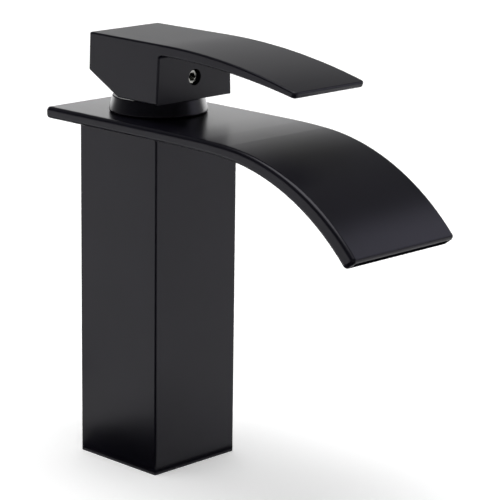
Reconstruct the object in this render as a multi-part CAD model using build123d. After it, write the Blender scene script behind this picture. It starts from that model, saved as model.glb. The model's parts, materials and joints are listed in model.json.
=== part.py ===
from build123d import *
import os

# Single-lever basin mixer: square column, plate spout, lever on a ceramic cartridge.
# Millimetres. +Z up, the spout points to -Y, the origin is the centre of the column's foot.

# How far a cutter runs past the face that it opens
OVERCUT = 1.0

# Column
COLUMN_WIDTH = 45.0
COLUMN_WALL = 2.5
COLUMN_EDGE_RADIUS = 0.8
BLOCK_WIDTH = 39.8
BLOCK_CORNER_RADIUS = 1.5

# Spout plate, seen from the side: u is the distance forward of the column's axis
PLATE_HALF_WIDTH = 28.6
PLATE_TOP = 144.9
PLATE_THICKNESS = 4.8
PLATE_BOTTOM = PLATE_TOP - PLATE_THICKNESS
PLATE_REAR = -36.8
PLATE_CORNER_RADIUS = 1.7
PLATE_EDGE_RADIUS = 1.65
BEND_START = 37.4
SLIGHT_BEND_RADIUS = 900.0
SLIGHT_BEND_ANGLE = 1.0
GENTLE_BEND_RADIUS = 290.0
GENTLE_BEND_ANGLE = 2.7
TIGHT_BEND_RADIUS = 98.0
TIP_ANGLE = 48.3
UNDERSIDE_BEND_START = 33.9
UNDERSIDE_BEND_RADIUS = 95.5
UNDERSIDE_TIP_ANGLE = 48.2
PLATE_SKIN = 1.4
# Least slope of a face that counts as top or underside, and most side lean
SLOPING = 0.5
FACING = 0.05
PLATE_SIDE_WALL = 1.7
PLATE_REAR_WALL = 2.0
FLOOR_THICKNESS = 1.4
NECK_HOLE_RADIUS = 18.4
NECK_WALL = 1.2
PAST_THE_TIP = 12.0
FLOW_INSERT_RECESS = 1.4
FLOW_INSERT_DEPTH = 6.0
FLOW_SLOTS = 14
FLOW_SLOT_HEIGHT = 2.2
FLOW_RIB = 0.7

# Foot
FOOT_HEIGHT = 20.0
STUD_HOLE_RADIUS = 3.4
INLET_SPACING = 23.0
INLET_HOLE_RADIUS = 4.5
INLET_HOLE_DEPTH = 14.0
GASKET_OUTER = 37.6
GASKET_INNER = 34.4
GASKET_THICKNESS = 2.0
GASKET_CORNER_RADIUS = 2.0

# Water ways
TUBE_RADIUS = 5.0
TUBE_BORE_RADIUS = 4.0
TUBE_SOCKET_DEPTH = 6.0
VALVE_BODY_BOTTOM = 96.0
CHAMBER_FLOOR = 112.0
CHAMBER_RADIUS = 17.6
NUT_THREAD_RADIUS = 18.2
NUT_THREAD_BOTTOM = 133.0
RISER_TOP = 108.5
PORT_RADIUS = 2.8
PORT_BOTTOM = 102.0
PORT_OVERLAP = 3.5
INLET_PORT = (8.6, -4.4)
OUTLET_PORT = (0.0, 1.5)
GALLERY_HEIGHT = 104.0
GALLERY_RADIUS = 2.6
PASSAGE_RADIUS = 2.9
PASSAGE_OFFSET = 16.0

# Cartridge, from the chamber floor up
CARTRIDGE_BASE_RADIUS = 17.3
CARTRIDGE_BASE_TOP = 116.0
SEAL_OUTER_RADIUS = 4.6
SEAL_INNER_RADIUS = 3.0
SEAL_THICKNESS = 1.2
O_RING_RADIUS = 0.95
O_RING_HEIGHT = 114.2
FIXED_DISC_RADIUS = 14.2
FIXED_DISC_TOP = 119.5
MOVING_DISC_RADIUS = 11.0
MOVING_DISC_BOTTOM = FIXED_DISC_TOP + 0.05
MOVING_DISC_TOP = 122.5
MIXING_POCKET_RADIUS = 6.4
MIXING_POCKET_DEPTH = 1.8
CARRIER_RADIUS = 10.8
CARRIER_PLATE_TOP = 125.4
CARRIER_BOSS_HALF = 5.0
CARRIER_TOP = 129.5
HOUSING_RADIUS = 17.4
HOUSING_BORE = 15.7
HOUSING_SHOULDER_BOTTOM = 132.0
HOUSING_SHOULDER_TOP = 134.5
HOUSING_NECK_RADIUS = 14.4
HOUSING_NECK_BORE = 12.2
HOUSING_TOP = 138.3
SLIP_RING_THICKNESS = 0.6

# Turret and spindle
TURRET_FLANGE_RADIUS = 15.4
TURRET_FLANGE_BOTTOM = 125.8
TURRET_FLANGE_TOP = 131.25
TURRET_NECK_RADIUS = 10.8
TURRET_TOP = 147.0
TURRET_SLOT_TOP = 130.2
CARRIER_SLOT = (-10.6, 5.6)
CARRIER_CLEARANCE = 0.2
SPINDLE_SLOT = (-8.0, 6.6)
SPINDLE_CLEARANCE = 0.3
TURRET_O_RING_RADIUS = 0.75
O_RING_GAP = 0.07
TURRET_O_RING_HEIGHT = 133.25
LIMIT_RING_RADIUS = 13.8
LIMIT_RING_BOTTOM = 138.7
LIMIT_RING_TOP = 142.2
LIMIT_TEETH = 24
LIMIT_TOOTH_DEPTH = 0.5
LIMIT_TOOTH_WIDTH = 1.0
LIMIT_TOOTH_HEIGHT = 1.2
PIVOT_HEIGHT = 141.0
PIN_RADIUS = 2.0
PIN_HALF_LENGTH = 9.5
PIN_CLEARANCE = 0.05
SPINDLE_ARM = 12.5
SPINDLE_BALL_RADIUS = 3.0
BALL_CLEARANCE = 0.2
BALL_FLOOR_GAP = 0.3
SPINDLE_TOP_CHAMFER = 0.8
SPINDLE_SHANK_RADIUS = 2.4
SPINDLE_FLAT_BOTTOM = 136.0
SPINDLE_TOP = 169.0
SPINDLE_HALF_WIDTH = 4.0
SPINDLE_HALF_DEPTH = 3.6

# Ring nut and collar
NUT_BOTTOM = HOUSING_SHOULDER_TOP
THREAD_GAP = 0.05
NUT_THREAD_TOP = 140.0
NUT_NECK_RADIUS = 17.0
NUT_TOP = 148.6
NUT_BORE = 14.6
NUT_NOTCHES = 6
NUT_NOTCH_WIDTH = 3.0
NUT_NOTCH_DEPTH = 2.2
COLLAR_FOOT_RADIUS = 20.3
COLLAR_TOP_RADIUS = 18.6
COLLAR_TOP = 151.6
COLLAR_TOP_ROUNDING = 0.4
COLLAR_FOOT_ROUNDING = 0.9
COLLAR_BORE = 17.15
COLLAR_LIP_BORE = 13.4
COLLAR_LIP_BOTTOM = 149.2

# Handle, seen from the side: block over the collar, thin lever reaching forward
HANDLE_TOP = 176.4
HANDLE_BOTTOM = 152.2
BLOCK_BACK_TOP = -20.7
BLOCK_BACK_BOTTOM = (-20.5, 161.1)
CHAMFER_END = -2.5
BLOCK_FRONT_BOTTOM = 20.8
BLOCK_FRONT_TOP = 21.0
LEVER_UNDERSIDE = 171.9
LEVER_TIP = (94.2, 167.0)
LEVER_TIP_BOTTOM = (93.2, 164.7)
LEVER_TOP_BEND = 21.0
TOP_FALL = 0.1
INNER_CORNER_RADIUS = 1.5
LEVER_CORNER_RADIUS = 1.9
HANDLE_EDGE_RADIUS = 0.8
# Half width of the top face behind the block, at its front and past the lever's tip
TOP_HALF_WIDTHS = ((-25.0, 18.7), (BLOCK_FRONT_TOP, 19.6), (98.0, 19.0))
BLANK_HALF_WIDTH = 25.0
SIDE_DRAFT = 1.1 / 24.5
RECESS_RADIUS = 19.2
RECESS_TOP = 158.0
HOLLOW_RADIUS = 15.5
HOLLOW_TOP = 171.0
BOSS_HALF = 7.5
BOSS_BOTTOM = 156.0
WEB_HALF_WIDTH = 5.5
WEB_BOTTOM = 155.5
SOCKET_GAP = 0.05
SOCKET_TOP_GAP = 0.4
SCREW_HEIGHT = 161.2
SCREW_RADIUS = 2.97
SCREW_HOLE_RADIUS = 3.0
SCREW_FACE = 19.3
SCREW_POINT = 1.2
SCREW_FACE_CHAMFER = 0.4
COUNTERBORE_RADIUS = 3.3
COUNTERBORE_DEPTH = 3.4
HEX_KEY = 3.0
HEX_DEPTH = 3.0

SIDE_PLANE = Plane(origin=(0, 0, 0), x_dir=(0, -1, 0), z_dir=(-1, 0, 0))


def box(x, y, z):
    """Box between pairs of x, y and z limits."""
    size = Box(x[1] - x[0], y[1] - y[0], z[1] - z[0])
    return Pos((x[0] + x[1]) / 2, (y[0] + y[1]) / 2, (z[0] + z[1]) / 2) * size


def rod(radius, bottom, top, x=0.0, y=0.0):
    """Upright cylinder between two heights."""
    return Pos(x, y, (bottom + top) / 2) * Cylinder(radius, top - bottom)


def rod_x(radius, x_start, x_end, y, z):
    """Cylinder along X."""
    return Pos((x_start + x_end) / 2, y, z) * Rot(0, 90, 0) * Cylinder(radius, x_end - x_start)


def rod_y(radius, y_start, y_end, x, z):
    """Cylinder along Y."""
    return Pos(x, (y_start + y_end) / 2, z) * Rot(90, 0, 0) * Cylinder(radius, y_end - y_start)


def ring(outer, inner, bottom, top, x=0.0, y=0.0):
    """Upright tube between two heights."""
    return rod(outer, bottom, top, x, y) - rod(inner, bottom - OVERCUT, top + OVERCUT, x, y)


def square_post(width, bottom, top, radius):
    """Square bar on the column's axis with rounded upright edges."""
    half = width / 2
    bar = box((-half, half), (-half, half), (bottom, top))
    return fillet(bar.edges().filter_by(Axis.Z), radius)


def column_shell():
    """Square tube that is the visible column."""
    outside = square_post(COLUMN_WIDTH, 0, PLATE_BOTTOM, COLUMN_EDGE_RADIUS)
    half = COLUMN_WIDTH / 2 - COLUMN_WALL
    return outside - box((-half, half), (-half, half), (-OVERCUT, PLATE_BOTTOM + OVERCUT))


def gasket_frame():
    """Square ring in the foot's groove, flush with the underside."""
    outer = square_post(GASKET_OUTER, 0, GASKET_THICKNESS, GASKET_CORNER_RADIUS)
    top = GASKET_THICKNESS + OVERCUT
    return outer - square_post(GASKET_INNER, -OVERCUT, top, GASKET_CORNER_RADIUS / 2)


def base_block():
    """Brass foot with the stud thread and the two hose threads."""
    block = square_post(BLOCK_WIDTH, 0, FOOT_HEIGHT, BLOCK_CORNER_RADIUS)
    block -= gasket_frame()
    block -= rod(STUD_HOLE_RADIUS, -OVERCUT, FOOT_HEIGHT + OVERCUT)
    for side in (-1, 1):
        x = side * INLET_SPACING / 2
        block -= rod(INLET_HOLE_RADIUS, -OVERCUT, INLET_HOLE_DEPTH, x)
        block -= rod(TUBE_RADIUS, FOOT_HEIGHT - TUBE_SOCKET_DEPTH, FOOT_HEIGHT + OVERCUT, x)
    return block


def inlet_tube(side):
    """Riser from the foot to the valve body."""
    bottom = FOOT_HEIGHT - TUBE_SOCKET_DEPTH
    top = VALVE_BODY_BOTTOM + TUBE_SOCKET_DEPTH
    return ring(TUBE_RADIUS, TUBE_BORE_RADIUS, bottom, top, side * INLET_SPACING / 2)


def valve_body():
    """Brass block that holds the cartridge and leads the mixed water up to the spout."""
    body = square_post(BLOCK_WIDTH, VALVE_BODY_BOTTOM, PLATE_BOTTOM, BLOCK_CORNER_RADIUS)
    body -= rod(CHAMBER_RADIUS, CHAMBER_FLOOR, PLATE_BOTTOM + OVERCUT)
    body -= rod(NUT_THREAD_RADIUS, NUT_THREAD_BOTTOM, PLATE_BOTTOM + OVERCUT)
    socket_top = VALVE_BODY_BOTTOM + TUBE_SOCKET_DEPTH
    front = -PASSAGE_OFFSET
    for side in (-1, 1):
        x = side * INLET_SPACING / 2
        body -= rod(TUBE_RADIUS, VALVE_BODY_BOTTOM - OVERCUT, socket_top, x)
        body -= rod(TUBE_BORE_RADIUS, socket_top - OVERCUT, RISER_TOP, x)
        port = (side * INLET_PORT[0], INLET_PORT[1])
        body -= rod(PORT_RADIUS, RISER_TOP - PORT_OVERLAP, CHAMBER_FLOOR + OVERCUT, *port)
        passage = (side * PASSAGE_OFFSET, front)
        body -= rod(PASSAGE_RADIUS, GALLERY_HEIGHT - OVERCUT, PLATE_BOTTOM + OVERCUT, *passage)
    body -= rod(PORT_RADIUS, PORT_BOTTOM, CHAMBER_FLOOR + OVERCUT, *OUTLET_PORT)
    body -= rod_y(GALLERY_RADIUS, front, OUTLET_PORT[1], 0, GALLERY_HEIGHT)
    body -= rod_x(GALLERY_RADIUS, -PASSAGE_OFFSET, PASSAGE_OFFSET, front, GALLERY_HEIGHT)
    return body


def bend(start_at, height, inset, tight_radius, tip_angle, overrun):
    """Side line of the plate: level, then arcs that bend slightly, gently and tightly.

    inset moves the line downwards, which makes the arcs smaller.
    overrun carries the last arc past the tip by that many degrees.
    """
    start = (start_at, height - inset)
    slight = JernArc(start, (1, 0), SLIGHT_BEND_RADIUS - inset, -SLIGHT_BEND_ANGLE)
    gentle = JernArc(slight @ 1, slight % 1, GENTLE_BEND_RADIUS - inset, -GENTLE_BEND_ANGLE)
    sweep_angle = tip_angle + overrun - SLIGHT_BEND_ANGLE - GENTLE_BEND_ANGLE
    tight = JernArc(gentle @ 1, gentle % 1, tight_radius - inset, -sweep_angle)
    return slight, gentle, tight


def top_line(inset, overrun=0.0):
    """Upper side line of the plate, moved down by inset."""
    return bend(BEND_START, PLATE_TOP, inset, TIGHT_BEND_RADIUS, TIP_ANGLE, overrun)


def bottom_line(rise, overrun=0.0):
    """Lower side line of the plate, moved up by rise."""
    radius, angle = UNDERSIDE_BEND_RADIUS, UNDERSIDE_TIP_ANGLE
    return bend(UNDERSIDE_BEND_START, PLATE_BOTTOM, -rise, radius, angle, overrun)


def plate_slice(rear, half_width, upper, lower, upper_height, lower_height):
    """Solid between two side lines, from the rear to their ends."""
    outline = [
        Line((rear, lower_height), (rear, upper_height)),
        Line((rear, upper_height), upper[0] @ 0),
        *upper,
        Line(upper[-1] @ 1, lower[-1] @ 1),
        *lower,
        Line(lower[0] @ 0, (rear, lower_height)),
    ]
    face = make_face(outline)
    return extrude(SIDE_PLANE * face, amount=half_width, both=True)


def plate_outside():
    """Whole outer form of the spout plate, with its rounded corners and edges."""
    lines = (top_line(0), bottom_line(0))
    plate = plate_slice(PLATE_REAR, PLATE_HALF_WIDTH, *lines, PLATE_TOP, PLATE_BOTTOM)
    ends = plate.faces().sort_by(Axis.Y)
    corners = ends[-1].edges().filter_by(Axis.Z)
    tip_face = plate.faces().sort_by(Axis.Z)[0]
    corners += [edge for edge in tip_face.edges() if abs(edge.tangent_at(0).X) < 0.1]
    plate = fillet(corners, PLATE_CORNER_RADIUS)
    return fillet(rim_edges(plate), PLATE_EDGE_RADIUS)


def rim_edges(plate):
    """Edges that run round the top and the underside of the plate."""
    tip_height = tip_plane().origin.Z
    rims = []
    for face in plate.faces():
        centre = face.center()
        normal = face.normal_at(centre)
        upright = abs(normal.X) > FACING or abs(normal.Z) < SLOPING
        at_tip = normal.Z < 0 and centre.Z < tip_height + PLATE_THICKNESS
        if not upright and not at_tip:
            rims += face.edges()
    counts = {}
    for edge in rims:
        centre = edge @ 0.5
        key = (round(centre.X, 2), round(centre.Y, 2), round(centre.Z, 2))
        counts.setdefault(key, []).append(edge)
    return [group[0] for group in counts.values() if len(group) == 1]


def water_way(rise, overrun):
    """Hollow of the plate above a line that lies rise over its underside."""
    rear = PLATE_REAR + PLATE_REAR_WALL
    half = PLATE_HALF_WIDTH - PLATE_SIDE_WALL
    top = PLATE_TOP - PLATE_SKIN
    bottom = PLATE_BOTTOM + rise
    return plate_slice(rear, half, top_line(PLATE_SKIN, overrun), bottom_line(rise, overrun), top, bottom)


def neck_hole():
    """Hole in the plate for the cartridge neck."""
    return rod(NECK_HOLE_RADIUS, PLATE_BOTTOM - OVERCUT, PLATE_TOP + OVERCUT)


def spout_shell(outside):
    """Top, sides and neck wall of the spout, open underneath."""
    shell = outside - water_way(-2 * OVERCUT, PAST_THE_TIP)
    wall_bottom = PLATE_BOTTOM + FLOOR_THICKNESS
    wall_top = PLATE_TOP - PLATE_SKIN / 2
    shell += ring(NECK_HOLE_RADIUS + NECK_WALL, NECK_HOLE_RADIUS, wall_bottom, wall_top)
    return shell - neck_hole()


def spout_floor(outside):
    """Plate let into the underside that closes the water way."""
    floor = outside & (water_way(0.0, PAST_THE_TIP) - water_way(FLOOR_THICKNESS, PAST_THE_TIP + OVERCUT))
    floor -= neck_hole()
    for side in (-1, 1):
        passage = (side * PASSAGE_OFFSET, -PASSAGE_OFFSET)
        floor -= rod(PASSAGE_RADIUS, PLATE_BOTTOM - OVERCUT, PLATE_TOP, *passage)
    return floor


def tip_plane():
    """Plane of the spout's mouth, its normal along the flow and its x along the mouth."""
    upper = SIDE_PLANE.from_local_coords(top_line(0)[-1] @ 1)
    lower = SIDE_PLANE.from_local_coords(bottom_line(0)[-1] @ 1)
    across = (upper - lower).normalized()
    flow = Vector(1, 0, 0).cross(across)
    return Plane(origin=(upper + lower) / 2, x_dir=(1, 0, 0), z_dir=flow)


def flow_insert():
    """Comb in the mouth of the spout that keeps the sheet of water straight."""
    mouth = tip_plane()
    half = PLATE_HALF_WIDTH - PLATE_SIDE_WALL
    middle = -FLOW_INSERT_RECESS - FLOW_INSERT_DEPTH / 2
    block = mouth * Pos(0, 0, middle) * Box(2 * half, 2 * PLATE_THICKNESS, FLOW_INSERT_DEPTH)
    comb = block & water_way(FLOOR_THICKNESS, PAST_THE_TIP)
    depth = FLOW_INSERT_DEPTH + 2 * OVERCUT
    pitch = 2 * half / FLOW_SLOTS
    for slot in range(FLOW_SLOTS):
        x = (slot + 0.5) * pitch - half
        comb -= mouth * Pos(x, 0, middle) * Box(pitch - FLOW_RIB, FLOW_SLOT_HEIGHT, depth)
    return comb


def cartridge_nut():
    """Ring nut that holds the cartridge down, notched for its key."""
    nut = rod(NUT_THREAD_RADIUS - THREAD_GAP, NUT_BOTTOM, NUT_THREAD_TOP)
    nut += rod(NUT_NECK_RADIUS, NUT_THREAD_TOP, NUT_TOP)
    nut -= rod(NUT_BORE, NUT_BOTTOM - OVERCUT, NUT_TOP + OVERCUT)
    for notch in range(NUT_NOTCHES):
        width = (-NUT_NOTCH_WIDTH / 2, NUT_NOTCH_WIDTH / 2)
        depth = (NUT_BORE - OVERCUT, NUT_NECK_RADIUS + OVERCUT)
        height = (NUT_TOP - NUT_NOTCH_DEPTH, NUT_TOP + OVERCUT)
        nut -= Rot(0, 0, notch * 360 / NUT_NOTCHES) * box(depth, width, height)
    return nut


def cartridge_collar():
    """Conical cover ring over the nut."""
    height = COLLAR_TOP - PLATE_TOP
    cone = Pos(0, 0, PLATE_TOP + height / 2) * Cone(COLLAR_FOOT_RADIUS, COLLAR_TOP_RADIUS, height)
    cone = fillet(cone.edges().group_by(Axis.Z)[-1], COLLAR_TOP_ROUNDING)
    cone = fillet(cone.edges().group_by(Axis.Z)[0], COLLAR_FOOT_ROUNDING)
    cone -= rod(COLLAR_BORE, PLATE_TOP - OVERCUT, COLLAR_LIP_BOTTOM)
    return cone - rod(COLLAR_LIP_BORE, PLATE_TOP, COLLAR_TOP + OVERCUT)


def ports():
    """Centres of the cartridge's two inlets and its outlet."""
    return [(-INLET_PORT[0], INLET_PORT[1]), INLET_PORT, OUTLET_PORT]


def cartridge_base():
    """Plastic foot of the cartridge with three ports, seal recesses and an O-ring groove."""
    base = rod(CARTRIDGE_BASE_RADIUS, CHAMBER_FLOOR, CARTRIDGE_BASE_TOP)
    groove = O_RING_RADIUS
    inner = CHAMBER_RADIUS - 2 * O_RING_RADIUS
    base -= ring(CHAMBER_RADIUS + OVERCUT, inner, O_RING_HEIGHT - groove, O_RING_HEIGHT + groove)
    for x, y in ports():
        base -= rod(PORT_RADIUS, CHAMBER_FLOOR - OVERCUT, CARTRIDGE_BASE_TOP + OVERCUT, x, y)
        base -= rod(SEAL_OUTER_RADIUS, CHAMBER_FLOOR - OVERCUT, CHAMBER_FLOOR + SEAL_THICKNESS, x, y)
    return base


def port_seals():
    """Three rubber rings between the cartridge's foot and the chamber floor."""
    seals = [
        ring(SEAL_OUTER_RADIUS, SEAL_INNER_RADIUS, CHAMBER_FLOOR, CHAMBER_FLOOR + SEAL_THICKNESS, x, y)
        for x, y in ports()
    ]
    return Compound(children=seals)


def housing_o_ring():
    """O-ring round the cartridge's foot."""
    return Pos(0, 0, O_RING_HEIGHT) * Torus(CHAMBER_RADIUS - O_RING_RADIUS, O_RING_RADIUS)


def fixed_disc():
    """Lower ceramic disc with the three ports."""
    disc = rod(FIXED_DISC_RADIUS, CARTRIDGE_BASE_TOP, FIXED_DISC_TOP)
    for x, y in ports():
        disc -= rod(PORT_RADIUS, CARTRIDGE_BASE_TOP - OVERCUT, FIXED_DISC_TOP + OVERCUT, x, y)
    return disc


def moving_disc():
    """Upper ceramic disc with the mixing pocket in its underside."""
    bottom = MOVING_DISC_BOTTOM
    disc = rod(MOVING_DISC_RADIUS, bottom, MOVING_DISC_TOP)
    return disc - rod(MIXING_POCKET_RADIUS, bottom - OVERCUT, bottom + MIXING_POCKET_DEPTH)


def disc_carrier():
    """Slider on the moving disc, with the socket for the spindle's ball."""
    half = CARRIER_BOSS_HALF
    carrier = rod(CARRIER_RADIUS, MOVING_DISC_TOP, CARRIER_PLATE_TOP)
    carrier += box((-half, half), (-half, half), (CARRIER_PLATE_TOP, CARRIER_TOP))
    ball_bottom = PIVOT_HEIGHT - SPINDLE_ARM - SPINDLE_BALL_RADIUS
    socket = SPINDLE_BALL_RADIUS + BALL_CLEARANCE
    return carrier - rod(socket, ball_bottom - BALL_FLOOR_GAP, CARRIER_TOP + OVERCUT)


def cartridge_housing():
    """Plastic can of the cartridge, with the shoulder that the nut presses on."""
    housing = rod(HOUSING_RADIUS, CARTRIDGE_BASE_TOP, HOUSING_SHOULDER_TOP)
    housing += rod(HOUSING_NECK_RADIUS, HOUSING_SHOULDER_TOP, HOUSING_TOP)
    housing -= rod(HOUSING_BORE, CARTRIDGE_BASE_TOP - OVERCUT, HOUSING_SHOULDER_BOTTOM)
    housing -= rod(HOUSING_NECK_BORE, CARTRIDGE_BASE_TOP, HOUSING_TOP + OVERCUT)
    reach = TURRET_NECK_RADIUS + O_RING_GAP + 2 * TURRET_O_RING_RADIUS
    low = TURRET_O_RING_HEIGHT - TURRET_O_RING_RADIUS
    return housing - rod(reach, low, low + 2 * TURRET_O_RING_RADIUS)


def turret_o_ring():
    """O-ring between the housing and the turret's neck."""
    major = TURRET_NECK_RADIUS + O_RING_GAP + TURRET_O_RING_RADIUS
    return Pos(0, 0, TURRET_O_RING_HEIGHT) * Torus(major, TURRET_O_RING_RADIUS)


def slip_ring():
    """Low-friction washer under the housing's shoulder."""
    bottom = HOUSING_SHOULDER_BOTTOM - SLIP_RING_THICKNESS
    return ring(HOUSING_BORE, HOUSING_NECK_BORE, bottom, HOUSING_SHOULDER_BOTTOM)


def turret():
    """Rotating sleeve that carries the spindle and turns the discs."""
    sleeve = rod(TURRET_FLANGE_RADIUS, TURRET_FLANGE_BOTTOM, TURRET_FLANGE_TOP)
    sleeve += rod(TURRET_NECK_RADIUS, TURRET_FLANGE_TOP, TURRET_TOP)
    gap = CARRIER_BOSS_HALF + CARRIER_CLEARANCE
    sleeve -= box((-gap, gap), CARRIER_SLOT, (TURRET_FLANGE_BOTTOM - OVERCUT, TURRET_SLOT_TOP))
    side = SPINDLE_HALF_WIDTH + SPINDLE_CLEARANCE
    sleeve -= box((-side, side), SPINDLE_SLOT, (TURRET_FLANGE_BOTTOM, TURRET_TOP + OVERCUT))
    return sleeve - rod_x(PIN_RADIUS, -PIN_HALF_LENGTH, PIN_HALF_LENGTH, 0, PIVOT_HEIGHT)


def spindle_pin():
    """Steel pin that the spindle rocks on."""
    return rod_x(PIN_RADIUS, -PIN_HALF_LENGTH, PIN_HALF_LENGTH, 0, PIVOT_HEIGHT)


def temperature_limit_ring():
    """Toothed stop ring on the turret's neck, set to limit the hot end of the swing."""
    stop = ring(LIMIT_RING_RADIUS, TURRET_NECK_RADIUS, LIMIT_RING_BOTTOM, LIMIT_RING_TOP)
    depth = (LIMIT_RING_RADIUS - LIMIT_TOOTH_DEPTH, LIMIT_RING_RADIUS + OVERCUT)
    width = (-LIMIT_TOOTH_WIDTH / 2, LIMIT_TOOTH_WIDTH / 2)
    height = (LIMIT_RING_TOP - LIMIT_TOOTH_HEIGHT, LIMIT_RING_TOP + OVERCUT)
    for tooth in range(LIMIT_TEETH):
        stop -= Rot(0, 0, tooth * 360 / LIMIT_TEETH) * box(depth, width, height)
    return stop


def spindle():
    """Rocking stem: square top for the handle, pin hole, and a ball at the foot."""
    ball_height = PIVOT_HEIGHT - SPINDLE_ARM
    wide = (-SPINDLE_HALF_WIDTH, SPINDLE_HALF_WIDTH)
    deep = (-SPINDLE_HALF_DEPTH, SPINDLE_HALF_DEPTH)
    stem = box(wide, deep, (SPINDLE_FLAT_BOTTOM, SPINDLE_TOP))
    stem = chamfer(stem.edges().group_by(Axis.Z)[-1], SPINDLE_TOP_CHAMFER)
    stem += rod(SPINDLE_SHANK_RADIUS, ball_height, SPINDLE_FLAT_BOTTOM)
    stem += Pos(0, 0, ball_height) * Sphere(SPINDLE_BALL_RADIUS)
    return stem - rod_x(PIN_RADIUS + PIN_CLEARANCE, -PIN_HALF_LENGTH, PIN_HALF_LENGTH, 0, PIVOT_HEIGHT)


def handle_side():
    """Side outline of the block and lever as one face."""
    top_start = (LEVER_TOP_BEND, HANDLE_TOP - TOP_FALL)
    under_start = (BLOCK_FRONT_TOP + INNER_CORNER_RADIUS, LEVER_UNDERSIDE)
    front_top = (BLOCK_FRONT_TOP, LEVER_UNDERSIDE - INNER_CORNER_RADIUS)
    outline = [
        Line((BLOCK_BACK_TOP, HANDLE_TOP), top_start),
        TangentArc(top_start, LEVER_TIP, tangent=(1, 0)),
        Line(LEVER_TIP, LEVER_TIP_BOTTOM),
        TangentArc(under_start, LEVER_TIP_BOTTOM, tangent=(1, 0)),
        TangentArc(under_start, front_top, tangent=(-1, 0)),
        Line(front_top, (BLOCK_FRONT_BOTTOM, HANDLE_BOTTOM)),
        Line((BLOCK_FRONT_BOTTOM, HANDLE_BOTTOM), (CHAMFER_END, HANDLE_BOTTOM)),
        Line((CHAMFER_END, HANDLE_BOTTOM), BLOCK_BACK_BOTTOM),
        Line(BLOCK_BACK_BOTTOM, (BLOCK_BACK_TOP, HANDLE_TOP)),
    ]
    return make_face(outline)


def handle_envelope():
    """Wedge that gives the block its side draft and the lever its taper."""
    layers = []
    for height in (HANDLE_BOTTOM - OVERCUT, HANDLE_TOP + OVERCUT):
        spread = SIDE_DRAFT * (HANDLE_TOP - height)
        right = [(half + spread, -forward) for forward, half in TOP_HALF_WIDTHS]
        left = [(-x, y) for x, y in reversed(right)]
        layers.append(Pos(0, 0, height) * make_face(Polyline(*right, *left, close=True)))
    return loft(layers, ruled=True)


def sharp_edges(body):
    """Edges of the handle except the cross lines where a flat runs smoothly into an arc."""
    seams = [LEVER_TOP_BEND, BLOCK_FRONT_TOP + INNER_CORNER_RADIUS]
    sharp = []
    for edge in body.edges():
        forward = -edge.center().Y
        across = abs(edge.tangent_at(0.5).X) > 0.9
        at_seam = any(abs(forward - seam) < 0.2 for seam in seams)
        at_seam = at_seam or abs(edge.center().Z - (LEVER_UNDERSIDE - INNER_CORNER_RADIUS)) < 0.1
        if not (across and at_seam):
            sharp.append(edge)
    return sharp


def handle():
    """Cast handle: hollow block with the spindle socket, and the lever."""
    body = extrude(SIDE_PLANE * handle_side(), amount=BLANK_HALF_WIDTH, both=True) & handle_envelope()
    tip = body.faces().sort_by(Axis.Y)[0]
    corners = [edge for edge in tip.edges() if abs(edge.tangent_at(0.5).X) < 0.5]
    body = fillet(corners, LEVER_CORNER_RADIUS)
    body = fillet(sharp_edges(body), HANDLE_EDGE_RADIUS)
    hollow = rod(HOLLOW_RADIUS, HANDLE_BOTTOM - OVERCUT, HOLLOW_TOP)
    hollow += rod(RECESS_RADIUS, HANDLE_BOTTOM - OVERCUT, RECESS_TOP)
    hollow -= box((-BOSS_HALF, BOSS_HALF), (-BOSS_HALF, BOSS_HALF), (BOSS_BOTTOM, HOLLOW_TOP))
    hollow -= box((-WEB_HALF_WIDTH, WEB_HALF_WIDTH), (-HOLLOW_RADIUS, 0), (WEB_BOTTOM, HOLLOW_TOP))
    body -= hollow
    wide = SPINDLE_HALF_WIDTH + SOCKET_GAP
    deep = SPINDLE_HALF_DEPTH + SOCKET_GAP
    body -= box((-wide, wide), (-deep, deep), (WEB_BOTTOM - OVERCUT, SPINDLE_TOP + SOCKET_TOP_GAP))
    outside = -BLOCK_FRONT_TOP - OVERCUT
    counterbore_end = COUNTERBORE_DEPTH - BLOCK_FRONT_BOTTOM
    body -= rod_y(SCREW_HOLE_RADIUS, outside, 0, 0, SCREW_HEIGHT)
    return body - rod_y(COUNTERBORE_RADIUS, outside, counterbore_end, 0, SCREW_HEIGHT)


def set_screw():
    """Socket set screw that clamps the handle on the spindle."""
    screw = rod_y(SCREW_RADIUS, -SCREW_FACE, -SPINDLE_HALF_DEPTH, 0, SCREW_HEIGHT)
    screw = chamfer(screw.edges().group_by(Axis.Y)[-1], SCREW_POINT)
    screw = chamfer(screw.edges().group_by(Axis.Y)[0], SCREW_FACE_CHAMFER)
    key = RegularPolygon(HEX_KEY / 2, 6, major_radius=False)
    mouth = Plane(origin=(0, -SCREW_FACE, SCREW_HEIGHT), x_dir=(0, 0, 1), z_dir=(0, 1, 0))
    return screw - extrude(mouth * key, amount=HEX_DEPTH)


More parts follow.
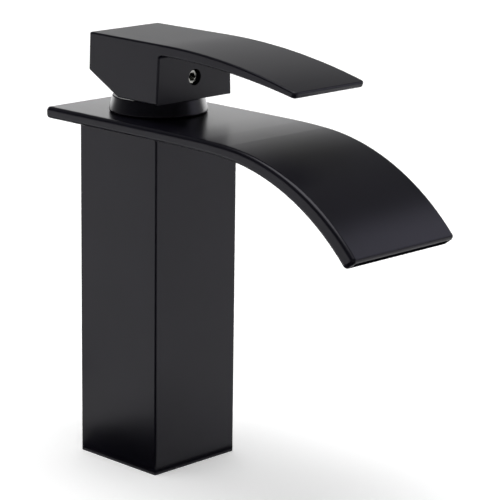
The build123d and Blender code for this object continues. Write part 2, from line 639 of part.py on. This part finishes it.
def main():
    """Builds every piece and writes one file for each."""
    outside = plate_outside()
    pieces = {
        "column_shell": column_shell(),
        "base_block": base_block(),
        "base_gasket": gasket_frame(),
        "hot_inlet_tube": inlet_tube(-1),
        "cold_inlet_tube": inlet_tube(1),
        "valve_body": valve_body(),
        "spout_shell": spout_shell(outside),
        "spout_floor": spout_floor(outside),
        "flow_insert": flow_insert(),
        "cartridge_nut": cartridge_nut(),
        "cartridge_collar": cartridge_collar(),
        "cartridge_base": cartridge_base(),
        "port_seals": port_seals(),
        "housing_o_ring": housing_o_ring(),
        "fixed_disc": fixed_disc(),
        "moving_disc": moving_disc(),
        "disc_carrier": disc_carrier(),
        "cartridge_housing": cartridge_housing(),
        "turret_o_ring": turret_o_ring(),
        "slip_ring": slip_ring(),
        "turret": turret(),
        "spindle_pin": spindle_pin(),
        "temperature_limit_ring": temperature_limit_ring(),
        "spindle": spindle(),
        "handle": handle(),
        "set_screw": set_screw(),
    }
    os.makedirs("parts", exist_ok=True)
    for name, piece in pieces.items():
        export_step(piece, f"parts/{name}.step")


main()
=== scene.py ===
"""Looks of a single-lever basin mixer, built round its fixed CAD frame."""

import json
import logging
import math
from dataclasses import dataclass
from enum import Enum
from typing import Dict, List, Sequence, Tuple

import bmesh
import bpy
from mathutils import Matrix, Vector


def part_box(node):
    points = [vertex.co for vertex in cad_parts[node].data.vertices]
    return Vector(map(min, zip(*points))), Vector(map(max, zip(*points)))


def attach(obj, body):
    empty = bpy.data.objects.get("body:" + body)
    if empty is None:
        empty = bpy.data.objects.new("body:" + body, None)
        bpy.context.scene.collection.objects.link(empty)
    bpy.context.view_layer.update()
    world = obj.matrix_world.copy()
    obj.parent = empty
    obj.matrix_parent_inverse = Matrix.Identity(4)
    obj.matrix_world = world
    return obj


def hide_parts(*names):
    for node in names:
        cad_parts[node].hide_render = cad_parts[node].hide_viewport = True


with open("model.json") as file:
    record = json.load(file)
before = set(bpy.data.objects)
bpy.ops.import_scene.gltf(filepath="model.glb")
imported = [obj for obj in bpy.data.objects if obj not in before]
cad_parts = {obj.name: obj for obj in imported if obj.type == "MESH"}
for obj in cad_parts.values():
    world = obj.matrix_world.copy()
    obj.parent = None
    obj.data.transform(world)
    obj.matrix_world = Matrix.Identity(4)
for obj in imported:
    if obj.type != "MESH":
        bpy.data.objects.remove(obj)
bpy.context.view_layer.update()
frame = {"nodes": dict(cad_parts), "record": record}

MM = 0.001
# Most of a noise lies between these two values
NOISE_LOW = 0.3
NOISE_HIGH = 0.7
SQUARE = ((-1, -1), (1, -1), (1, 1), (-1, 1))
LOG = logging.getLogger("mixer")

Colour = Tuple[float, float, float]
Point = Tuple[float, float, float]
Spot = Tuple[float, float]
Face = Tuple[int, ...]


class Body(Enum):
    """The rigid bodies of the mixer that new pieces ride on."""

    FIXED = "body"
    LEVER = "lever"


class Slot(Enum):
    """The record's material slots."""

    PAINT = "black_paint"
    BRASS = "brass"
    TUBE = "tube_metal"
    RUBBER = "rubber"
    WHITE = "white_plastic"
    GREY = "grey_plastic"
    RED = "red_plastic"
    CERAMIC = "ceramic"
    STEEL = "steel"


class Nodes:
    """Small helper that lays out one material's shader nodes."""

    def __init__(self, name: str) -> None:
        """Makes an empty material with a surface shader and its output.

        Args:
            name: name of the material.
        """
        self.material = bpy.data.materials.new(name)
        self.material.use_nodes = True
        self.tree = self.material.node_tree
        self.tree.nodes.clear()
        self.output = self.tree.nodes.new("ShaderNodeOutputMaterial")
        self.surface = self.tree.nodes.new("ShaderNodeBsdfPrincipled")
        self.join(self.surface.outputs["BSDF"], self.output.inputs["Surface"])
        self.place = self.tree.nodes.new("ShaderNodeTexCoord").outputs["Object"]

    def join(self, source: bpy.types.NodeSocket, target: bpy.types.NodeSocket) -> None:
        """Links two sockets."""
        self.tree.links.new(source, target)

    def set(self, **values: object) -> None:
        """Sets plain values on the surface shader.

        Args:
            values: socket names with underscores for spaces, and their values.
        """
        for name, value in values.items():
            self.surface.inputs[name.replace("_", " ")].default_value = value

    def noise(self, scale: float, detail: float, stretch: Point = (1, 1, 1)) -> bpy.types.NodeSocket:
        """Adds solid noise.

        Args:
            scale: cells in one metre.
            detail: octaves of finer noise.
            stretch: multiplies the three directions, to draw the noise out.

        Returns:
            The socket that gives the noise from 0 to 1.
        """
        mapping = self.tree.nodes.new("ShaderNodeMapping")
        mapping.inputs["Scale"].default_value = stretch
        self.join(self.place, mapping.inputs["Vector"])
        node = self.tree.nodes.new("ShaderNodeTexNoise")
        node.inputs["Scale"].default_value = scale
        node.inputs["Detail"].default_value = detail
        self.join(mapping.outputs["Vector"], node.inputs["Vector"])
        return node.outputs["Fac"]

    def spread(self, source: bpy.types.NodeSocket, low: float, high: float) -> bpy.types.NodeSocket:
        """Maps the usual range of a noise onto another range.

        Args:
            source: the noise.
            low: value where the noise is low.
            high: value where the noise is high.

        Returns:
            The mapped value's socket.
        """
        node = self.tree.nodes.new("ShaderNodeMapRange")
        node.inputs["From Min"].default_value = NOISE_LOW
        node.inputs["From Max"].default_value = NOISE_HIGH
        node.inputs["To Min"].default_value = low
        node.inputs["To Max"].default_value = high
        self.join(source, node.inputs["Value"])
        return node.outputs["Result"]

    def tint(self, source: bpy.types.NodeSocket, first: Colour, second: Colour) -> None:
        """Varies the surface colour between two colours.

        Args:
            source: noise that chooses between them.
            first: colour where the noise is low.
            second: colour where the noise is high.
        """
        ramp = self.tree.nodes.new("ShaderNodeValToRGB")
        low, high = ramp.color_ramp.elements
        low.position = NOISE_LOW
        low.color = (*first, 1)
        high.position = NOISE_HIGH
        high.color = (*second, 1)
        self.join(source, ramp.inputs["Fac"])
        self.join(ramp.outputs["Color"], self.surface.inputs["Base Color"])

    def relief(self, height: bpy.types.NodeSocket, depth: float) -> None:
        """Adds fine surface relief.

        Args:
            height: height from 0 to 1.
            depth: what a height of 1 stands for, in metres.
        """
        bump = self.tree.nodes.new("ShaderNodeBump")
        bump.inputs["Strength"].default_value = 1.0
        bump.inputs["Distance"].default_value = depth
        self.join(height, bump.inputs["Height"])
        self.join(bump.outputs["Normal"], self.surface.inputs["Normal"])

    def sheen(self, source: bpy.types.NodeSocket, smooth: float, rough: float) -> None:
        """Varies the roughness between two values.

        Args:
            source: noise that chooses between them.
            smooth: roughness where the noise is low.
            rough: roughness where the noise is high.
        """
        self.join(self.spread(source, smooth, rough), self.surface.inputs["Roughness"])


@dataclass(frozen=True)
class PowderCoat:
    """Satin black stoved paint with a faint orange peel."""

    dark: Colour = (0.0030, 0.0028, 0.0052)
    light: Colour = (0.0046, 0.0042, 0.0078)
    ior: float = 1.33
    gloss_tint: Colour = (0.94, 0.92, 1.0)
    sheen_low: float = 0.274
    sheen_high: float = 0.286
    sheen_cells: float = 22.0
    cloud_cells: float = 38.0
    peel_cells: float = 420.0
    peel_depth: float = 0.0008 * MM

    def material(self) -> bpy.types.Material:
        """Makes the paint.

        Returns:
            The material.
        """
        nodes = Nodes("satin_black_paint")
        nodes.set(IOR=self.ior, Specular_Tint=(*self.gloss_tint, 1))
        nodes.tint(nodes.noise(self.cloud_cells, detail=3.0), self.dark, self.light)
        nodes.sheen(nodes.noise(self.sheen_cells, detail=0.0), self.sheen_low, self.sheen_high)
        nodes.relief(nodes.noise(self.peel_cells, detail=1.0), self.peel_depth)
        return nodes.material


@dataclass(frozen=True)
class TurnedMetal:
    """Bare metal with fine tool marks drawn out along one direction."""

    name: str
    dark: Colour
    light: Colour
    smooth: float
    rough: float
    marks: Point
    mark_cells: float = 900.0
    mark_depth: float = 0.004 * MM
    cloud_cells: float = 90.0

    def material(self) -> bpy.types.Material:
        """Makes the metal.

        Returns:
            The material.
        """
        nodes = Nodes(self.name)
        nodes.set(Metallic=1.0)
        marks = nodes.noise(self.mark_cells, detail=4.0, stretch=self.marks)
        nodes.tint(nodes.noise(self.cloud_cells, detail=3.0), self.dark, self.light)
        nodes.sheen(marks, self.smooth, self.rough)
        nodes.relief(marks, self.mark_depth)
        return nodes.material


@dataclass(frozen=True)
class Moulding:
    """Moulded plastic, rubber or pressed ceramic with a fine spark texture."""

    name: str
    dark: Colour
    light: Colour
    smooth: float
    rough: float
    ior: float = 1.5
    grain_cells: float = 2400.0
    grain_depth: float = 0.004 * MM
    cloud_cells: float = 120.0

    def material(self) -> bpy.types.Material:
        """Makes the moulded or pressed material.

        Returns:
            The material.
        """
        nodes = Nodes(self.name)
        nodes.set(IOR=self.ior)
        cloud = nodes.noise(self.cloud_cells, detail=3.0)
        nodes.tint(cloud, self.dark, self.light)
        nodes.sheen(cloud, self.smooth, self.rough)
        nodes.relief(nodes.noise(self.grain_cells, detail=3.0), self.grain_depth)
        return nodes.material


class Finishes:
    """Every finish of the mixer, made once."""

    def __init__(self) -> None:
        """Makes the materials."""
        round_upright = (0.06, 0.06, 1.0)
        along_upright = (1, 1, 0.03)
        along_level = (1, 0.1, 1)
        recipes = {
            Slot.PAINT: PowderCoat(),
            Slot.BRASS: TurnedMetal(
                "machined_brass", (0.56, 0.39, 0.15), (0.68, 0.50, 0.22), 0.22, 0.38, round_upright
            ),
            Slot.TUBE: TurnedMetal(
                "drawn_tube", (0.50, 0.49, 0.47), (0.60, 0.59, 0.57), 0.2, 0.34, along_upright
            ),
            Slot.STEEL: TurnedMetal(
                "plated_steel", (0.26, 0.26, 0.25), (0.36, 0.36, 0.34), 0.14, 0.26, along_level
            ),
            Slot.RUBBER: Moulding("black_rubber", (0.012, 0.012, 0.012), (0.02, 0.02, 0.02), 0.6, 0.75),
            Slot.WHITE: Moulding("white_acetal", (0.62, 0.62, 0.59), (0.70, 0.70, 0.67), 0.35, 0.45),
            Slot.GREY: Moulding("grey_nylon", (0.045, 0.047, 0.05), (0.06, 0.062, 0.066), 0.4, 0.55),
            Slot.RED: Moulding("red_acetal", (0.42, 0.02, 0.015), (0.5, 0.03, 0.02), 0.35, 0.45),
            Slot.CERAMIC: Moulding(
                "lapped_ceramic", (0.70, 0.68, 0.62), (0.76, 0.74, 0.68), 0.12, 0.2, ior=1.7
            ),
        }
        self.made: Dict[Slot, bpy.types.Material] = {
            slot: recipe.material() for slot, recipe in recipes.items()
        }

    def dress(self, piece: bpy.types.Object, slot: Slot) -> None:
        """Gives a piece one finish all over.

        Args:
            piece: a CAD node or a new mesh.
            slot: the finish.
        """
        piece.data.materials.clear()
        piece.data.materials.append(self.made[slot])


def add_to_scene(name: str, data: bpy.types.ID) -> bpy.types.Object:
    """Puts a mesh, a lamp or a camera into the scene.

    Args:
        name: name of the object.
        data: what it shows or holds.

    Returns:
        The new object.
    """
    made = bpy.data.objects.new(name, data)
    bpy.context.scene.collection.objects.link(made)
    return made


def make_sheet(
    name: str, points: Sequence[Point], faces: Sequence[Face], nodes: Nodes
) -> bpy.types.Object:
    """Lays out a thin sheet for the studio.

    Args:
        name: name of the sheet.
        points: its corners.
        faces: its faces, as numbers of corners.
        nodes: its material.

    Returns:
        The sheet.
    """
    mesh = bpy.data.meshes.new(name)
    mesh.from_pydata(points, [], faces)
    mesh.materials.append(nodes.material)
    return add_to_scene(name, mesh)


def skin_of(rows: Sequence[Sequence[Point]], closed: bool) -> Tuple[List[Point], List[Face]]:
    """Joins rows of points into one closed skin with a cap at each end.

    Args:
        rows: loops with the same number of points.
        closed: joins the last row to the first instead of capping them.

    Returns:
        The points and the faces.
    """
    count = len(rows[0])
    points = [point for row in rows for point in row]
    faces: List[Face] = []
    spans = len(rows) if closed else len(rows) - 1
    for span in range(spans):
        first = span * count
        second = (span + 1) % len(rows) * count
        for index in range(count):
            after = (index + 1) % count
            faces.append((first + index, first + after, second + after, second + index))
    if not closed:
        last = (len(rows) - 1) * count
        faces.append(tuple(reversed(range(count))))
        faces.append(tuple(range(last, last + count)))
    return points, faces


def make_piece(name: str, rows: Sequence[Sequence[Point]], closed: bool, smooth: float) -> bpy.types.Object:
    """Makes a mesh object from rows of points.

    Args:
        name: name of the piece.
        rows: loops of points in metres.
        closed: whether the rows run round in a ring.
        smooth: angle in degrees under which an edge is shaded smooth.

    Returns:
        The new object.
    """
    mesh = bpy.data.meshes.new(name)
    points, faces = skin_of(rows, closed)
    mesh.from_pydata(points, [], faces)
    skin = bmesh.new()
    skin.from_mesh(mesh)
    bmesh.ops.recalc_face_normals(skin, faces=skin.faces)
    skin.to_mesh(mesh)
    skin.free()
    mesh.shade_smooth()
    mesh.set_sharp_from_angle(angle=math.radians(smooth))
    return add_to_scene(name, mesh)


@dataclass(frozen=True)
class Thread:
    """Upright helical ridge of a screw thread.

    root is the wall's radius and height is how far the ridge stands off it,
    negative into a hole. All sizes are in metres.
    """

    root: float
    height: float
    pitch: float
    bottom: float
    top: float
    x: float = 0.0
    y: float = 0.0
    steps: int = 48
    bite: float = 0.00004
    flank: float = 0.42
    run_in: float = 0.5
    shade_angle: float = 20.0

    def rows(self) -> List[List[Point]]:
        """Lays out the ridge's three-cornered sections, which fade in and out at its ends.

        Returns:
            The corners of each section.
        """
        turns = (self.top - self.bottom) / self.pitch - 2 * self.flank
        count = int(turns * self.steps)
        wall = self.root - math.copysign(self.bite, self.height)
        half = self.flank * self.pitch
        rows = []
        for step in range(count + 1):
            angle = 2 * math.pi * step / self.steps
            middle = self.bottom + half + self.pitch * step / self.steps
            ends = min(step, count - step) / (self.run_in * self.steps)
            crest = self.root + self.height * min(1.0, ends)
            section = ((wall, middle - half), (crest, middle), (wall, middle + half))
            across, along = math.cos(angle), math.sin(angle)
            rows.append([(self.x + r * across, self.y + r * along, z) for r, z in section])
        return rows

    def piece(self, name: str) -> bpy.types.Object:
        """Returns the ridge as an object."""
        return make_piece(name, self.rows(), False, self.shade_angle)


@dataclass
class SubAssembly:
    """A group of CAD nodes that belong together, and the pieces made for them."""

    nodes: Tuple[str, ...] = ()
    body: Body = Body.FIXED

    def build(self) -> Dict[bpy.types.Object, Slot]:
        """Returns the new pieces and their finishes. The plain group makes none."""
        return {}

    def dress(self, finishes: Finishes) -> None:
        """Gives the CAD nodes the finish that the record names.

        Args:
            finishes: the made materials.
        """
        slots = {row["node"]: Slot(row["material_slot"]) for row in frame["record"]["subparts"]}
        for name in self.nodes:
            finishes.dress(frame["nodes"][name], slots[name])
            LOG.info("%s: dressed %s", type(self).__name__, name)

    def assemble(self, finishes: Finishes) -> None:
        """Dresses the nodes, makes the new pieces and fastens them to their body.

        Args:
            finishes: the made materials.
        """
        self.dress(finishes)
        for piece, slot in self.build().items():
            finishes.dress(piece, slot)
            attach(piece, self.body.value)
            LOG.info("%s: built %s", type(self).__name__, piece.name)


@dataclass
class Foot(SubAssembly):
    """Column, brass foot, its threads and the two risers."""

    nodes: Tuple[str, ...] = (
        "column_shell",
        "base_block",
        "base_gasket",
        "hot_inlet_tube",
        "cold_inlet_tube",
    )
    stud_pitch: float = 1.25 * MM
    hose_pitch: float = 1.0 * MM
    thread_height: float = 0.36 * MM
    lead_in: float = 0.6 * MM
    rim_width: float = 1.6 * MM
    gasket_corner: float = 2.0 * MM
    least_corner: float = 0.4 * MM
    groove_depth: float = 0.45 * MM
    grooves: int = 2
    corner_steps: int = 10
    shade_angle: float = 30.0

    def thread(self, mount: str, pitch: float) -> bpy.types.Object:
        """Cuts the thread of one mount's hole.

        Args:
            mount: name of the threaded hole in the record.
            pitch: rise of one turn.

        Returns:
            The ridge.
        """
        row = next(row for row in frame["record"]["mounts"] if row["name"] == mount)
        x, y, _ = row["pos_m"]
        radius = row["dims"]["r_mm"] * MM
        top = row["dims"]["length_mm"] * MM - self.lead_in
        thread = Thread(radius, -self.thread_height, pitch, self.lead_in, top, x, y)
        return thread.piece(mount + "_thread")

    def gasket_loop(self, half: float, corner: float, height: float) -> List[Point]:
        """Rounded square on the column's axis.

        Args:
            half: half of its width.
            corner: radius of its corners.
            height: its height over the deck.

        Returns:
            Its points, anticlockwise.
        """
        points = []
        for quarter in range(4):
            for step in range(self.corner_steps + 1):
                angle = math.pi / 2 * (quarter + step / self.corner_steps)
                sign_x = 1 if quarter in (0, 3) else -1
                sign_y = 1 if quarter in (0, 1) else -1
                x = sign_x * (half - corner) + corner * math.cos(angle)
                y = sign_y * (half - corner) + corner * math.sin(angle)
                points.append((x, y, height))
        return points

    def gasket(self) -> bpy.types.Object:
        """Makes the moulded gasket with its sealing grooves, in place of the plain ring.

        Returns:
            The gasket.
        """
        low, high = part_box("base_gasket")
        outer = high[0]
        section = [(0.0, high[2]), (self.rim_width, high[2])]
        lips = self.grooves + 1
        land = self.rim_width / (2 * lips - 1)
        # From the outer edge of a lip to the middle of the groove beside it
        to_groove = 1.5 * land
        for lip in range(lips):
            right = self.rim_width - 2 * lip * land
            section += [(right, low[2]), (right - land, low[2])]
            if lip < self.grooves:
                section.append((right - to_groove, low[2] + self.groove_depth))
        rows = []
        for inset, height in section:
            corner = max(self.gasket_corner - inset, self.least_corner)
            rows.append(self.gasket_loop(outer - inset, corner, height))
        piece = make_piece("grooved_gasket", rows, True, self.shade_angle)
        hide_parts("base_gasket")
        return piece

    def build(self) -> Dict[bpy.types.Object, Slot]:
        """Makes the gasket and the three threads.

        Returns:
            The pieces and their finishes.
        """
        return {
            self.gasket(): Slot.RUBBER,
            self.thread("fixing_stud", self.stud_pitch): Slot.BRASS,
            self.thread("hot_inlet", self.hose_pitch): Slot.BRASS,
            self.thread("cold_inlet", self.hose_pitch): Slot.BRASS,
        }


@dataclass
class Spout(SubAssembly):
    """Curved plate spout with its floor and the comb in its mouth."""

    nodes: Tuple[str, ...] = ("spout_shell", "spout_floor", "flow_insert")


@dataclass
class NeckRing(SubAssembly):
    """Conical collar and the ring nut under it."""

    nodes: Tuple[str, ...] = ("cartridge_collar", "cartridge_nut")
    pitch: float = 1.0 * MM
    ridge: float = 0.3 * MM
    threaded: float = 5.4 * MM
    thread_steps: int = 96

    def build(self) -> Dict[bpy.types.Object, Slot]:
        """Makes the nut's outside thread.

        Returns:
            The thread and its finish.
        """
        low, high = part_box("cartridge_nut")
        top = low[2] + self.threaded
        thread = Thread(high[0], self.ridge, self.pitch, low[2], top, steps=self.thread_steps)
        return {thread.piece("nut_thread"): Slot.BRASS}


@dataclass
class Cartridge(SubAssembly):
    """Everything inside the valve body."""

    nodes: Tuple[str, ...] = (
        "valve_body",
        "cartridge_base",
        "port_seals",
        "housing_o_ring",
        "fixed_disc",
        "moving_disc",
        "disc_carrier",
        "cartridge_housing",
        "turret_o_ring",
        "slip_ring",
        "turret",
        "spindle_pin",
        "temperature_limit_ring",
        "spindle",
    )


@dataclass
class Handle(SubAssembly):
    """Handle block with its lever, and the set screw that clamps it."""

    nodes: Tuple[str, ...] = ("handle", "set_screw")
    body: Body = Body.LEVER
    around: int = 72
    rows_in_pitch: int = 10
    pitch: float = 1.0 * MM
    thread_depth: float = 0.42 * MM
    face_chamfer: float = 0.4 * MM
    point_chamfer: float = 1.2 * MM
    cup_depth: float = 0.5 * MM
    cup_radius: float = 1.2 * MM
    cup_point: float = 0.2 * MM
    key: float = 3.0 * MM
    key_depth: float = 2.7 * MM
    key_lead: float = 0.14 * MM
    drill_depth: float = 0.4 * MM
    drill_point: float = 0.15 * MM
    shade_angle: float = 25.0

    def key_radius(self, angle: float, extra: float) -> float:
        """Distance from the screw's axis to the side of its key socket.

        Args:
            angle: direction round the axis.
            extra: how much wider than the key the socket is on each side.

        Returns:
            The distance.
        """
        sixth = math.pi / 3
        off = (angle + sixth / 2) % sixth - sixth / 2
        return (self.key / 2 + extra) / math.cos(off)

    def screw_rows(self, radius: float, length: float) -> List[List[Point]]:
        """Sections of the set screw from the bottom of its socket, over its face, to its point.

        Args:
            radius: radius over the thread.
            length: length over all.

        Returns:
            For each section its points as distance from the axis, angle and depth from the face.
        """
        angles = [2 * math.pi * step / self.around for step in range(self.around)]
        rows = [[(self.drill_point, a, self.key_depth + self.drill_depth) for a in angles]]
        rows.append([(self.key / 2, a, self.key_depth) for a in angles])
        for extra, depth in ((0.0, self.key_depth), (0.0, self.key_lead), (self.key_lead, 0.0)):
            rows.append([(self.key_radius(a, extra), a, depth) for a in angles])
        rows.append([(radius - self.face_chamfer, a, 0.0) for a in angles])
        start, end = self.face_chamfer, length - self.point_chamfer
        count = round((end - start) / self.pitch * self.rows_in_pitch)
        for row in range(count + 1):
            depth = start + (end - start) * row / count
            fade = min(1.0, row / self.rows_in_pitch, (count - row) / self.rows_in_pitch)
            points = []
            for a in angles:
                wave = (depth / self.pitch + a / (2 * math.pi)) % 1.0
                cut = self.thread_depth * fade * abs(2 * wave - 1)
                points.append((radius - cut, a, depth))
            rows.append(points)
        rows.append([(radius - self.point_chamfer, a, length) for a in angles])
        rows.append([(self.cup_radius, a, length) for a in angles])
        rows.append([(self.cup_point, a, length - self.cup_depth) for a in angles])
        return rows

    def set_screw(self) -> bpy.types.Object:
        """Makes the threaded set screw with its key socket, in place of the plain one.

        Returns:
            The screw.
        """
        low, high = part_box("set_screw")
        radius = (high[0] - low[0]) / 2
        height = (low[2] + high[2]) / 2
        rows = []
        for row in self.screw_rows(radius, high[1] - low[1]):
            rows.append([(r * math.sin(a), low[1] + d, height + r * math.cos(a)) for r, a, d in row])
        piece = make_piece("threaded_set_screw", rows, False, self.shade_angle)
        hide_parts("set_screw")
        return piece

    def build(self) -> Dict[bpy.types.Object, Slot]:
        """Returns the set screw."""
        return {self.set_screw(): Slot.STEEL}


@dataclass
class SoftBox:
    """Rectangular lamp that shows only as a reflection in glossy surfaces."""

    name: str
    spot: Point
    target: Point
    size: Spot
    level: float
    colour: Colour = (1, 1, 1)

    def build(self) -> None:
        """Makes the lamp. Its level is the radiance of its face."""
        data = bpy.data.lights.new(self.name, "AREA")
        data.shape = "RECTANGLE"
        data.size, data.size_y = self.size
        data.energy = self.level * math.pi * self.size[0] * self.size[1]
        data.color = self.colour
        lamp = add_to_scene(self.name, data)
        lamp.location = self.spot
        ahead = Vector(self.target) - Vector(self.spot)
        lamp.rotation_euler = ahead.to_track_quat("-Z", "Y").to_euler()
        lamp.visible_camera = False
        lamp.visible_diffuse = False


@dataclass
class Studio:
    """Pale floor, white wall, dark mats, soft dome, soft boxes and the camera.

    The dark mats are painted shade: black sheets seen only in reflections. They lie before and behind the
    mixer as wedges, whose half width is mat_spread times the distance, and as patches round its foot, where
    they paint the floor's shade into the reflections.
    dome holds the dome's brightness at a few heights, where 0 is level and 1 is overhead.
    """

    azimuth: float = -45.66
    elevation: float = 14.268
    roll: float = 0.776
    distance: float = 0.970915
    aim_right: float = 0.038859
    aim_up: float = 0.083877
    lens: float = 166.514
    clip_start: float = 0.05
    floor_size: float = 40.0
    floor_colour: Colour = (0.95, 0.95, 0.95)
    floor_roughness: float = 0.9
    floor_gloss: float = 0.2
    floor_glow: float = 0.28
    wall_radius: float = 8.0
    wall_height: float = 4.0
    wall_steps: int = 64
    mat_start: float = 0.036
    mat_end: float = 1.2
    rear_mat_start: float = 0.3
    rear_mat_end: float = 7.0
    mat_spread: float = 1.3
    # Apron and patches round the foot: painted shade of the floor near the foot, seen only in reflections
    mat_apron: float = 0.026
    mat_patches: Tuple[Tuple[Spot, ...], ...] = (
        ((-0.09, 0.10), (0.08, 0.10), (0.08, 0.32), (-0.09, 0.32)),
        ((-0.03, 0.045), (0.08, 0.045), (0.08, 0.10), (-0.03, 0.10)),
        ((-0.0235, -0.030), (-0.078, 0.022), (-0.042, 0.042), (-0.0235, 0.0235)),
    )
    mat_height: float = 0.002
    # Colour of the painted shade sheets, which show only in reflections
    painted_shade_colour: Colour = (0.004, 0.004, 0.004)
    dome_peak: float = 4.2
    dome: Tuple[Tuple[float, float], ...] = (
        (0.0, 0.13),
        (0.18, 0.008),
        (0.45, 0.012),
        (0.62, 0.044),
        (0.84, 0.050),
        (0.95, 1.0),
    )
    boxes: Tuple[SoftBox, ...] = (
        SoftBox("low_card", (0.335, 0.30, 0.10), (0, 0, 0.10), (1.0, 0.20), 2.3),
        SoftBox("near_strip", (0.148, 0.057, 0.160), (0.028, -0.048, 0.150), (0.26, 0.045), 0.88),
        SoftBox("soft_fill", (0.77, 0.40, 0.42), (0.15, -0.15, 0.15), (1.0, 0.36), 0.47),
        SoftBox("front_box", (0.72, -0.52, 0.54), (0, -0.1, 0.12), (0.6, 0.6), 1.4, (0.85, 0.84, 1.0)),
    )

    def camera(self) -> None:
        """Places the camera on the mixer's left front corner."""
        a, e, r = (math.radians(v) for v in (self.azimuth, self.elevation, self.roll))
        back = Vector((math.sin(a) * math.cos(e), -math.cos(a) * math.cos(e), math.sin(e)))
        level = Vector((math.cos(a), math.sin(a), 0))
        rise = back.cross(level)
        right = level * math.cos(r) + rise * math.sin(r)
        up = rise * math.cos(r) - level * math.sin(r)
        spot = right * self.aim_right + up * self.aim_up + back * self.distance
        camera = add_to_scene("camera", bpy.data.cameras.new("camera"))
        turn = Matrix((right, up, back)).transposed().to_4x4()
        camera.matrix_world = Matrix.Translation(spot) @ turn
        camera.data.lens = self.lens
        camera.data.clip_start = self.clip_start
        bpy.context.scene.camera = camera

    def floor(self) -> None:
        """Lays the pale floor."""
        half = self.floor_size / 2
        nodes = Nodes("pale_floor")
        nodes.set(Base_Color=(*self.floor_colour, 1), Emission_Color=(1, 1, 1, 1))
        nodes.set(Roughness=self.floor_roughness, Specular_IOR_Level=self.floor_gloss)
        nodes.set(Emission_Strength=self.floor_glow)
        corners = [(x * half, y * half, 0) for x, y in SQUARE]
        floor = make_sheet("floor", corners, [(0, 1, 2, 3)], nodes)

    def backdrop(self) -> None:
        """Stands a white wall far round the floor, seen only straight on and never in reflections."""
        steps = self.wall_steps
        angles = [2 * math.pi * step / steps for step in range(steps)]
        round_floor = [(self.wall_radius * math.cos(a), self.wall_radius * math.sin(a)) for a in angles]
        points = [(x, y, z) for z in (0.0, self.wall_height) for x, y in round_floor]
        faces = []
        for first in range(steps):
            second = (first + 1) % steps
            faces.append((first, second, steps + second, steps + first))
        nodes = Nodes("white_wall")
        nodes.set(Base_Color=(0, 0, 0, 1), Specular_IOR_Level=0.0)
        nodes.set(Emission_Color=(1, 1, 1, 1), Emission_Strength=1.0)
        wall = make_sheet("backdrop", points, faces, nodes)
        wall.visible_diffuse = False
        wall.visible_glossy = False
        wall.visible_shadow = False
        wall.visible_transmission = False

    def painted_shade_mat(self) -> None:
        """Lays black sheets seen only in reflections, which paint shade into them: the edges read as dark
        lines and the column darkens towards its foot.
        """
        a = math.radians(self.azimuth)
        ahead = Vector((math.sin(a), -math.cos(a), 0))
        side = Vector((math.cos(a), math.sin(a), 0)) * self.mat_spread
        rise = Vector((0, 0, self.mat_height))
        wedges = ((ahead, self.mat_start, self.mat_end), (-ahead, self.rear_mat_start, self.rear_mat_end))
        corners = []
        for way, start, end in wedges:
            for sign, reach in ((-1, start), (1, start), (1, end), (-1, end)):
                corners.append((way + side * sign) * reach + rise)
        apron = tuple((x * self.mat_apron, y * self.mat_apron) for x, y in SQUARE)
        for patch in (apron, *self.mat_patches):
            corners += [Vector((x, y, self.mat_height / 2)) for x, y in patch]
        faces = [tuple(range(first, first + 4)) for first in range(0, len(corners), 4)]
        # Black sheet with no gloss: painted shade, seen only in the mixer's reflections
        nodes = Nodes("painted_shade_sheet")
        nodes.set(Base_Color=(*self.painted_shade_colour, 1), Roughness=1.0, Specular_IOR_Level=0.0)
        mat = make_sheet("painted_shade_mat", corners, faces, nodes)
        mat.visible_camera = False
        mat.visible_diffuse = False
        mat.visible_shadow = False
        mat.visible_transmission = False

    def sky(self) -> None:
        """Makes the soft dome: bright overhead, darker lower down."""
        world = bpy.data.worlds.new("dome")
        bpy.context.scene.world = world
        world.use_nodes = True
        tree = world.node_tree
        direction = tree.nodes.new("ShaderNodeTexCoord").outputs["Generated"]
        split = tree.nodes.new("ShaderNodeSeparateXYZ")
        ramp = tree.nodes.new("ShaderNodeValToRGB")
        ramp.color_ramp.interpolation = "EASE"
        while len(ramp.color_ramp.elements) < len(self.dome):
            ramp.color_ramp.elements.new(0.5)
        for element, (height, level) in zip(ramp.color_ramp.elements, self.dome):
            element.position = height
            element.color = (level, level, level, 1)
        background = tree.nodes["Background"]
        background.inputs["Strength"].default_value = self.dome_peak
        tree.links.new(direction, split.inputs[0])
        tree.links.new(split.outputs["Z"], ramp.inputs["Fac"])
        tree.links.new(ramp.outputs["Color"], background.inputs["Color"])

    def build(self) -> None:
        """Makes the whole studio."""
        self.camera()
        self.floor()
        self.backdrop()
        self.painted_shade_mat()
        self.sky()
        for box in self.boxes:
            box.build()
        bpy.context.scene.view_settings.view_transform = "Standard"


def main() -> None:
    """Dresses the mixer and builds the studio."""
    logging.basicConfig(level=logging.INFO, format="%(name)s: %(message)s")
    Studio().build()
    finishes = Finishes()
    for part in (Foot(), Spout(), NeckRing(), Cartridge(), Handle()):
        part.assemble(finishes)


if __name__ == "__main__":
    main()
